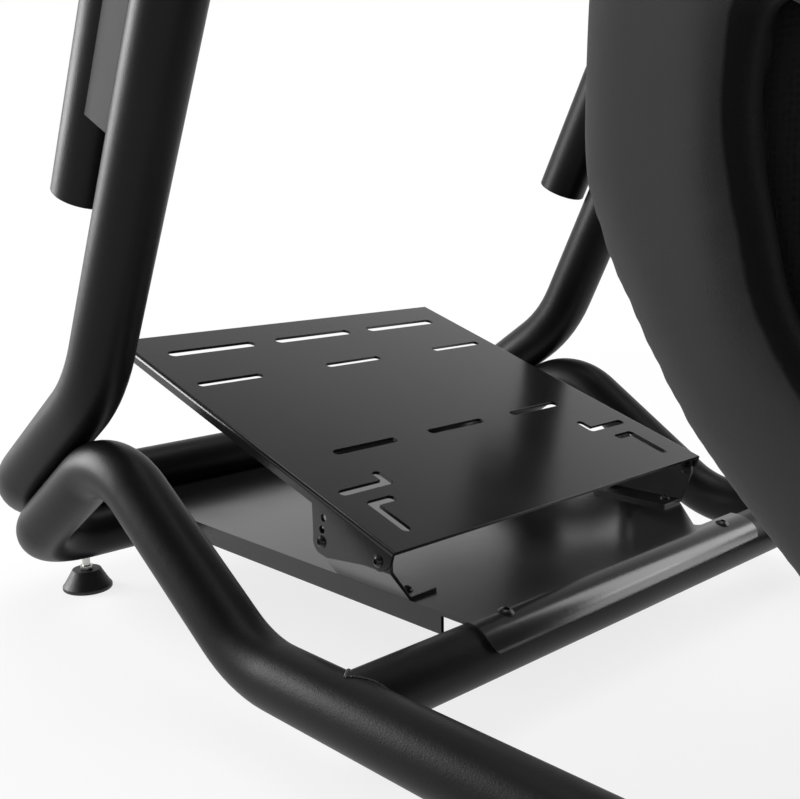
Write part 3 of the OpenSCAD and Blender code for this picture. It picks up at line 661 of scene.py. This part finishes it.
def path_tree():
    """Geometry nodes that lay small beads or stitches along a path."""
    tree = bpy.data.node_groups.new("beads_along_path", "GeometryNodeTree")
    inputs = {}
    for word, kind in (("Path", "Geometry"), ("Radius", "Float"), ("Step", "Float"),
                       ("Stretch", "Float"), ("Unevenness", "Float"), ("Finish", "Material")):
        socket = tree.interface.new_socket(word, in_out="INPUT", socket_type="NodeSocket" + kind)
        inputs[word] = socket.identifier
    tree.interface.new_socket("Beads", in_out="OUTPUT", socket_type="NodeSocketGeometry")
    given = tree.nodes.new("NodeGroupInput").outputs

    def add(kind, settings=None, **links):
        n = tree.nodes.new(kind)
        for key, value in (settings or {}).items():
            setattr(n, key, value)
        for key, socket in links.items():
            tree.links.new(socket, n.inputs[key.replace("_", " ")])
        return n

    # Places along the path, and the bead that goes there.
    curve = add("GeometryNodeMeshToCurve", Mesh=given["Path"])
    spaced = add("GeometryNodeResampleCurve", {"mode": "LENGTH"},
                 Curve=curve.outputs[0], Length=given["Step"])
    along = add("GeometryNodeInputTangent")
    turn = add("FunctionNodeAlignRotationToVector", {"axis": "X"}, Vector=along.outputs[0])
    bead = add("GeometryNodeMeshIcoSphere", Radius=given["Radius"])
    bead.inputs["Subdivisions"].default_value = 2

    # Size of each bead: a random share of full size, times the stretch along the path.
    least = add("ShaderNodeMath", {"operation": "SUBTRACT"})
    least.inputs[0].default_value = 1.0
    tree.links.new(given["Unevenness"], least.inputs[1])
    share = add("FunctionNodeRandomValue", {"data_type": "FLOAT"})
    tree.links.new(least.outputs[0], value_socket(share.inputs, "Min"))
    value_socket(share.inputs, "Max").default_value = 1.0
    share.inputs["Seed"].default_value = 7
    amount = value_socket(share.outputs)
    length = add("ShaderNodeMath", {"operation": "MULTIPLY"})
    tree.links.new(amount, length.inputs[0])
    tree.links.new(given["Stretch"], length.inputs[1])
    size = add("ShaderNodeCombineXYZ", X=length.outputs[0], Y=amount, Z=amount)

    laid = add("GeometryNodeInstanceOnPoints", Points=spaced.outputs[0], Instance=bead.outputs[0],
               Rotation=turn.outputs[0], Scale=size.outputs[0])
    real = add("GeometryNodeRealizeInstances", Geometry=laid.outputs[0])
    smooth = add("GeometryNodeSetShadeSmooth", Geometry=real.outputs[0])
    done = add("GeometryNodeSetMaterial", Geometry=smooth.outputs[0], Material=given["Finish"])
    tree.links.new(done.outputs[0], tree.nodes.new("NodeGroupOutput").inputs[0])
    return tree, inputs


BEADS, BEAD_INPUTS = path_tree()


def along_paths(name, paths, material, slot, closed=False, **sizes):
    """Beads or stitches along each path, made by the geometry nodes and kept as a plain mesh."""
    verts, edges = [], []
    for path in paths:
        n = len(verts)
        verts += [tuple(p) for p in path]
        edges += [(n + i, n + i + 1) for i in range(len(path) - 1)]
        if closed:
            edges.append((len(verts) - 1, n))
    mesh = bpy.data.meshes.new(name)
    mesh.from_pydata(verts, edges, [])
    obj = linked(name, mesh)
    mod = obj.modifiers.new("beads", "NODES")
    mod.node_group = BEADS
    mod[BEAD_INPUTS["Finish"]] = material
    for word, value in sizes.items():
        mod[BEAD_INPUTS[word.title()]] = value
    settle(obj)
    adopt(obj, None)


def coped_ring(side, y, z, r, main_r, off_at, count=72):
    """Line where a cross tube's skin meets a side tube, whose axis a point misses by off_at."""
    ring = []
    for k in range(count):
        a = 2 * math.pi * k / count
        dy, dz = r * math.cos(a), r * math.sin(a)
        reach = math.sqrt(max(0.0, main_r ** 2 - off_at(dy, dz) ** 2))
        ring.append(Vector((side * (HALF_TRACK - reach), y + dy, z + dz)))
    return ring


def post_ring(side, y, count=48):
    """Line where a seat post stands on a seat tube."""
    ring = []
    for k in range(count):
        a = 2 * math.pi * k / count
        dx, dy = POST_R * math.cos(a), POST_R * math.sin(a)
        rise = math.sqrt(SEAT_TUBE_R ** 2 - dy ** 2)
        ring.append(Vector((side * POST_X + dx, y + dy, SEAT_TUBE_Z + rise)))
    return ring


def build_welds():
    rings = []
    for side, _ in SIDES:
        rings.append(coped_ring(side, CROSS_Y, CROSS_Z, CROSS_R, BASE_R,
                                lambda dy, dz: CROSS_Z + dz - BASE_Z))
        rings.append(coped_ring(side, DECK_TUBE_Y, DECK_TUBE_Z, CROSS_R, SUPPORT_R,
                                lambda dy, dz: dy * math.cos(LEAN) - dz * math.sin(LEAN)))
        for back in SEAT_TUBE_BACK:
            rings.append(coped_ring(side, CROSS_Y + back, SEAT_TUBE_Z, SEAT_TUBE_R, BASE_R,
                                    lambda dy, dz: SEAT_TUBE_Z + dz - BASE_Z))
            rings.append(post_ring(side, CROSS_Y + back))
    along_paths("weld_beads", rings, weld, "frame_black", closed=True,
                radius=0.0015, step=0.0017, stretch=0.8, unevenness=0.15)


# Pads

def skin_tree(mesh):
    """Search tree of a mesh's faces."""
    return BVHTree.FromPolygons([v.co for v in mesh.vertices], [p.vertices for p in mesh.polygons])


def freedom(mesh, names):
    """How far each vertex may give, from 0 against a neighbour to 1 in the open."""
    trees = [skin_tree(nodes[name].data) for name in names]
    out = []
    for v in mesh.vertices:
        near = min(tree.find_nearest(v.co)[3] for tree in trees)
        t = min(1.0, near / FREE_REACH)
        out.append(t * t * (3 - 2 * t))
    return out


def relax(mesh, rounds):
    """Evens out a skin, which also rounds its edges."""
    bm = bmesh.new()
    bm.from_mesh(mesh)
    for _ in range(rounds):
        bmesh.ops.smooth_vert(bm, verts=bm.verts, factor=0.5,
                              use_axis_x=True, use_axis_y=True, use_axis_z=True)
    bm.to_mesh(mesh)
    bm.free()
    mesh.update()


def inflate(obj, pressure=4.0, frames_run=9):
    """Blows a pad's cloth up for a few frames and applies the result."""
    puff = obj.modifiers.new("cloth", "CLOTH")
    puff.settings.use_pressure = True
    puff.settings.uniform_pressure_force = pressure
    puff.settings.effector_weights.gravity = 0.0
    puff.settings.quality = 5
    puff.settings.mass = 0.3
    puff.settings.tension_stiffness = 12
    puff.settings.compression_stiffness = 12
    puff.settings.bending_stiffness = 4
    puff.collision_settings.use_collision = False
    puff.point_cache.frame_start = 1
    puff.point_cache.frame_end = frames_run
    scene = bpy.context.scene
    for f in range(1, frames_run + 1):
        scene.frame_set(f)
    settle(obj)
    scene.frame_set(1)


def puffed(obj, give, cap):
    """Puffs a pad by a cloth run, and holds each point near its start where the pad can't give."""
    start = [(v.co.copy(), v.normal.copy()) for v in obj.data.vertices]
    inflate(obj)
    for v, (p, n), g in zip(obj.data.vertices, start, give):
        rise = (v.co - p).dot(n)
        slide = v.co - p - n * rise
        slide.length = min(slide.length, MOST_SLIDE * g)
        v.co = p + slide + n * max(-MOST_SINK * g, min(rise, cap * g))


def stuffed(node, name, material, touches, grow, cap, rounds=5, voxel=0.007):
    """Upholstered pad: its solid with soft edges, swollen and puffed where it is free."""
    obj = copy_solid(node, name, material)
    mod = obj.modifiers.new("remesh", "REMESH")
    mod.mode = "VOXEL"
    mod.voxel_size = voxel
    settle(obj)
    relax(obj.data, rounds)
    give = freedom(obj.data, touches)
    swell = grow + 0.0
    for v, n, g in [(v, v.normal.copy(), g) for v, g in zip(obj.data.vertices, give)]:
        v.co += n * swell * g
    puffed(obj, give, cap)
    relax(obj.data, 2)
    sub = obj.modifiers.new("smooth", "SUBSURF")
    sub.levels = sub.render_levels = 1
    settle(obj)
    for p in obj.data.polygons:
        p.use_smooth = True
    obj.data.materials.clear()
    obj.data.materials.append(material)
    adopt(obj, node)
    return obj


def rim_of(node, side):
    """Outline of a node's outer side face, in order around it."""
    bm = bmesh.new()
    bm.from_mesh(nodes[node].data)
    bmesh.ops.remove_doubles(bm, verts=bm.verts, dist=2e-6)
    far = max(side * v.co.x for v in bm.verts) - 1e-5
    links = {}
    for e in bm.edges:
        if all(side * v.co.x > far for v in e.verts) and e.calc_face_angle(0) > 0.8:
            for v in e.verts:
                links.setdefault(v.index, []).append(e.other_vert(v).index)
    at = {v.index: v.co.copy() for v in bm.verts}
    bm.free()
    first = next(iter(links))
    ring, before = [first], None
    while True:
        step = [k for k in links[ring[-1]] if k != before][0]
        if step == first:
            return [at[k] for k in ring]
        before = ring[-1]
        ring.append(step)


def depth_for_hollow_shade(obj, ring):
    """Stores how deep each vertex lies inside the hollow's outline, seen from the side, for painted
    shade.
    """
    runs = list(zip(ring, ring[1:] + ring[:1]))
    dense = [a.lerp(b, k / 8) for a, b in runs for k in range(8)]
    tree = KDTree(len(dense))
    for i, p in enumerate(dense):
        tree.insert((0, p.y, p.z), i)
    tree.balance()
    depth = obj.data.attributes.new("hollow_depth", "FLOAT", "POINT")
    for v in obj.data.vertices:
        y, z = v.co.y, v.co.z
        inside = False
        for a, b in runs:
            if (a.z > z) != (b.z > z) and y < (b.y - a.y) * (z - a.z) / (b.z - a.z) + a.y:
                inside = not inside
        near = tree.find((0, y, z))[2]
        depth.data[v.index].value = near if inside else -near


def quilt(obj, facing, seams):
    """Presses sewn channels into a pad's open face; a seam is an axis, its place and its depth."""
    mesh = obj.data
    for v, n in [(v, v.normal.copy()) for v in mesh.vertices]:
        open_face = max(0.0, min(1.0, (n.dot(facing) - 0.25) / 0.3))
        press = max(depth * math.exp(-((abs(v.co[axis]) - at) / SEAM_HALF_WIDTH) ** 2)
                    for axis, at, depth in seams)
        v.co -= n * press * open_face
    mesh.update()


def laid_on(obj, start, stop, way, count=60):
    """Path on a pad's skin under a straight line, looking the given way."""
    tree = skin_tree(obj.data)
    hits = [tree.ray_cast(Vector(start).lerp(Vector(stop), k / count), Vector(way))[0]
            for k in range(count + 1)]
    return [hit for hit in hits if hit is not None]


def stitch_lines(pad, ends, seams, over, way):
    """Paths of a cushion's stitches: its two long seams, then the channels across it.

    over gives a point in front of the pad from its places across and along it.
    """
    first, last = ends
    lines = [laid_on(pad, over(x, first), over(x, last), way) for x in (-SEAM_X, SEAM_X)]
    return lines + [laid_on(pad, over(-SEAM_X, at), over(SEAM_X, at), way) for at in seams]


def build_seat():
    hard = ["seat_shell", "seat_rail_left", "seat_rail_right"]
    for side, word in SIDES:
        wing, panel = "seat_wing_" + word, "seat_panel_" + word
        beside = hard + ["seat_cushion", "back_cushion", panel]
        pad = stuffed(wing, "wing_pad_" + word, wing_cloth, beside,
                      grow=0.0062, cap=0.003)
        # Depths for the wing cloth's painted shade in the side hollow.
        depth_for_hollow_shade(pad, rim_of(panel, side))
        stuffed(panel, "side_panel_" + word, panel_cloth, [wing],
                grow=0.0, cap=0.005, rounds=3, voxel=0.006)
    beside = hard + ["seat_wing_left", "seat_wing_right"]
    base = stuffed("seat_cushion", "seat_cushion_pad", panel_cloth, beside,
                   grow=0.001, cap=0.008, voxel=0.008)
    back = stuffed("back_cushion", "back_cushion_pad", panel_cloth, beside,
                   grow=0.001, cap=0.008, voxel=0.008)
    stuffed("head_cushion", "head_cushion_pad", head_cloth, hard,
            grow=0.0, cap=0.006)

    sides = [(0, SEAM_X, SIDE_SEAM_DEPTH)]
    quilt(base, Vector((0, 0, 1)), sides + [(1, y, CROSS_SEAM_DEPTH) for y in SEAT_SEAMS])
    quilt(back, Vector((0, -1, 0)), sides + [(2, z, CROSS_SEAM_DEPTH) for z in BACK_SEAMS])

    lines = stitch_lines(base, SEAT_SEAM_ENDS, SEAT_SEAMS,
                         lambda x, y: (x, y, OVER_SEAT_Z), (0, 0, -1))
    lines += stitch_lines(back, BACK_SEAM_ENDS, BACK_SEAMS,
                          lambda x, z: (x, AHEAD_OF_BACK_Y, z), (0, 1, 0))
    along_paths("seat_stitches", lines, thread, "seat_dark",
                radius=0.0005, step=0.0052, stretch=3.4, unevenness=0.0)


# Studio

def shown_ray(b):
    """One where the lens looks, and one where a camera, glossy or transmission ray looks."""
    lens, gloss, clear = (b.node("ShaderNodeLightPath", {}, {}, f"Is {kind} Ray")
                          for kind in ("Camera", "Glossy", "Transmission"))
    shown = lens.maths("MAXIMUM", lens, gloss)
    return lens, shown.maths("MAXIMUM", shown, clear)


def studio_world():
    """White surroundings, low and bright opposite the lens, dark overhead and behind it."""
    world = bpy.data.worlds.new("studio")
    bpy.context.scene.world = world
    world.use_nodes = True
    b = Board(world.node_tree)
    way = b.node("ShaderNodeTexCoord", {}, {}, "Generated")
    x, y, z = (b.node("ShaderNodeSeparateXYZ", {}, {0: way}, k) for k in range(3))
    back = x * math.sin(YAW) + y * math.cos(YAW)
    low = b.span(z, 0.25, 0.92, 1.0, 0.05, "SMOOTHSTEP")
    away = b.span(back, -0.05, 0.5, 1.0, 0.1, "SMOOTHSTEP")
    lens, shown = shown_ray(b)
    bright = lens.maths("MAXIMUM", lens, low * away)
    lit = b.node("ShaderNodeBackground", {}, {"Color": WHITE, "Strength": 0.42})
    seen = b.node("ShaderNodeBackground", {}, {"Color": WHITE, "Strength": bright})
    mixed = b.node("ShaderNodeMixShader", {}, {0: shown, 1: lit, 2: seen})
    b.node("ShaderNodeOutputWorld", {}, {0: mixed}, None)


def studio_floor():
    """Pale floor that shows white and keeps a faint shadow near the cockpit."""
    material = bpy.data.materials.new("pale_floor")
    material.use_nodes = True
    b = Board(material.node_tree)
    paint = b.node("ShaderNodeBsdfDiffuse", {}, {"Color": (0.86, 0.86, 0.86, 1)})
    white = b.node("ShaderNodeEmission", {}, {"Color": WHITE, "Strength": 1.0})
    place = b.node("ShaderNodeTexCoord", {}, {}, "Object")
    far = b.node("ShaderNodeVectorMath", {"operation": "LENGTH"}, {0: place}, "Value")
    shadow = b.span(far, 0.9, 2.2, 0.2, 0.0, "SMOOTHSTEP")
    _, shown = shown_ray(b)
    shade = b.node("ShaderNodeMixShader", {}, {0: shown * (1 - shadow), 1: paint, 2: white})
    b.node("ShaderNodeOutputMaterial", {}, {0: shade}, None)
    bpy.ops.mesh.primitive_plane_add(size=60, location=(0, 0, 0))
    floor = bpy.context.object
    floor.name = "floor"
    floor.data.materials.append(material)


def lamp(name, place, aim, size, power):
    """Square soft lamp that looks from its place to its aim."""
    light = bpy.data.lights.new(name, "AREA")
    light.shape = "RECTANGLE"
    light.size = light.size_y = size
    light.energy = power
    obj = bpy.data.objects.new(name, light)
    obj.location = place
    obj.rotation_euler = (Vector(aim) - Vector(place)).to_track_quat("-Z", "Y").to_euler()
    bpy.context.scene.collection.objects.link(obj)


def photo_camera():
    """Camera at the photograph's place and angle."""
    look = Vector((-math.sin(YAW) * math.cos(PITCH),
                   -math.cos(YAW) * math.cos(PITCH),
                   -math.sin(PITCH)))
    level = Vector((-math.cos(YAW), math.sin(YAW), 0))
    upward = level.cross(look)
    right = level * math.cos(ROLL) + upward * math.sin(ROLL)
    up = upward * math.cos(ROLL) - level * math.sin(ROLL)
    lens = bpy.data.cameras.new("photo_view")
    lens.sensor_width = SENSOR_WIDTH
    lens.lens = FOCAL_PIXELS * SENSOR_WIDTH / IMAGE_WIDTH
    lens.clip_start = 0.02
    lens.clip_end = 100
    camera = bpy.data.objects.new("photo_view", lens)
    camera.matrix_world = Matrix((right, up, -look)).transposed().to_4x4()
    camera.location = CAMERA_PLACE
    bpy.context.scene.collection.objects.link(camera)
    bpy.context.scene.camera = camera


build_sides()
build_middle()
build_welds()
build_seat()

studio_world()
studio_floor()
lamp("left_soft", place=(1.5, -2.6, 0.95), aim=(0, -0.2, 0.25), size=1.3, power=75)
lamp("top_soft", place=(-0.4, -0.6, 3.2), aim=(0, -0.1, 0.2), size=2.0, power=40)
lamp("rear_soft", place=(-2.4, 1.0, 1.8), aim=(0, 0, 0.3), size=1.4, power=25)
lamp("low_rear_soft", place=(-1.5, 1.1, 0.5), aim=(0, -0.2, 0.1), size=0.8, power=5)
photo_camera()
bpy.context.scene.view_settings.view_transform = "Standard"
